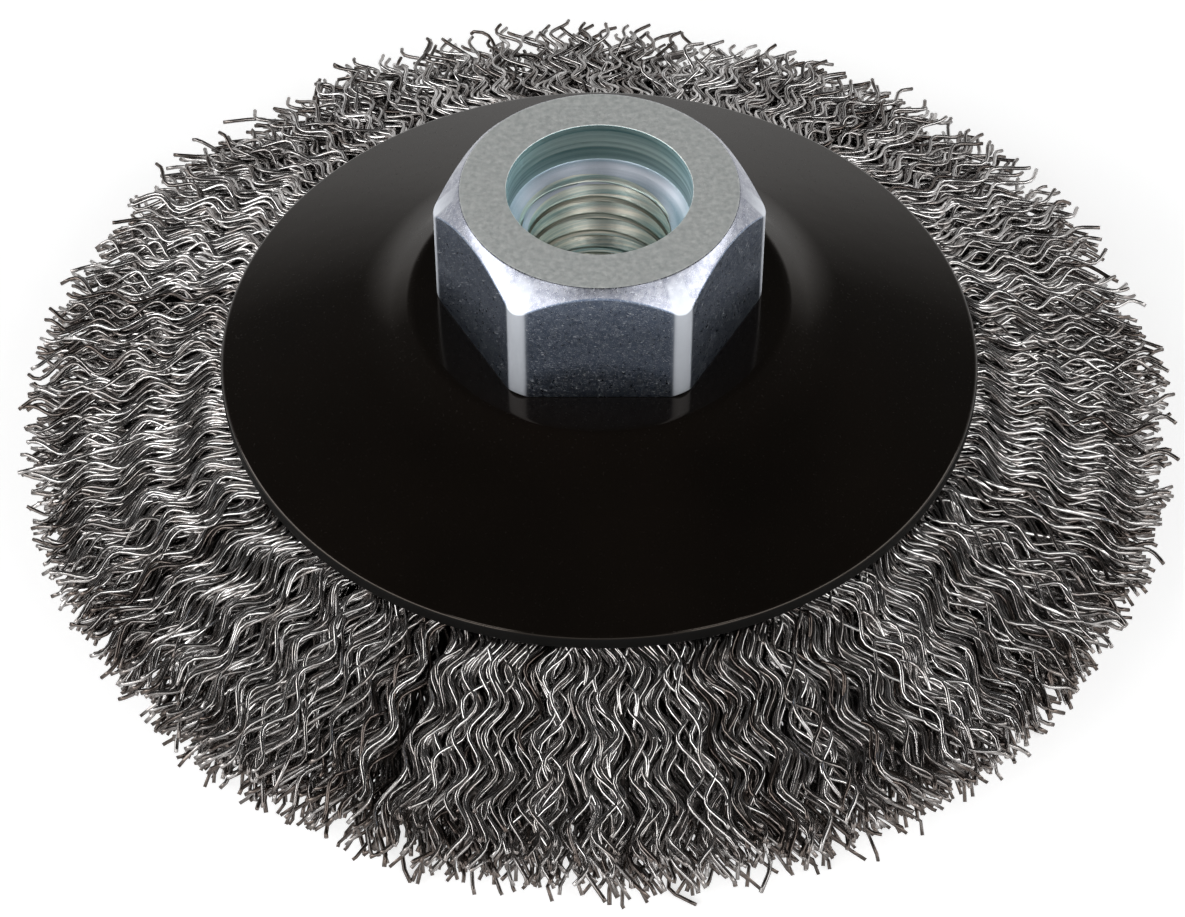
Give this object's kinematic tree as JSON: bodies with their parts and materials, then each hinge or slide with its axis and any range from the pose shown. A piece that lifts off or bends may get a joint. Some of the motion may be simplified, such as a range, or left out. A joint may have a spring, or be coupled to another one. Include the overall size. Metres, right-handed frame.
{
  "type": "conical wire brush",
  "caption": "Conical crimped steel wire brush with a threaded hexagon nut, a pressed black cup and a dished clamping plate, for an angle grinder spindle.",
  "frame": {"origin": "on the axis, in the plane of the lowest wire tips, on which the brush stands", "axes": "+Z along the axis, from the wire tips up through the nut; +X through a corner of the hexagon"},
  "size_m": [0.1014, 0.1014, 0.035],
  "materials": {
    "plated_nut": "zinc plated, satin, lightly scratched",
    "black_lacquer": "glossy black lacquer on pressed steel",
    "plain_steel": "cold rolled sheet and wire, dull",
    "brush_wire": "hard drawn steel wire, bright grey, lightly oiled"
  },
  "bodies": {
    "root": {"threaded_nut": "plated_nut", "upper_cup": "black_lacquer", "lower_plate": "plain_steel", "retaining_ring": "plain_steel", "crimped_wires": "brush_wire"}
  },
  "joints": []
}
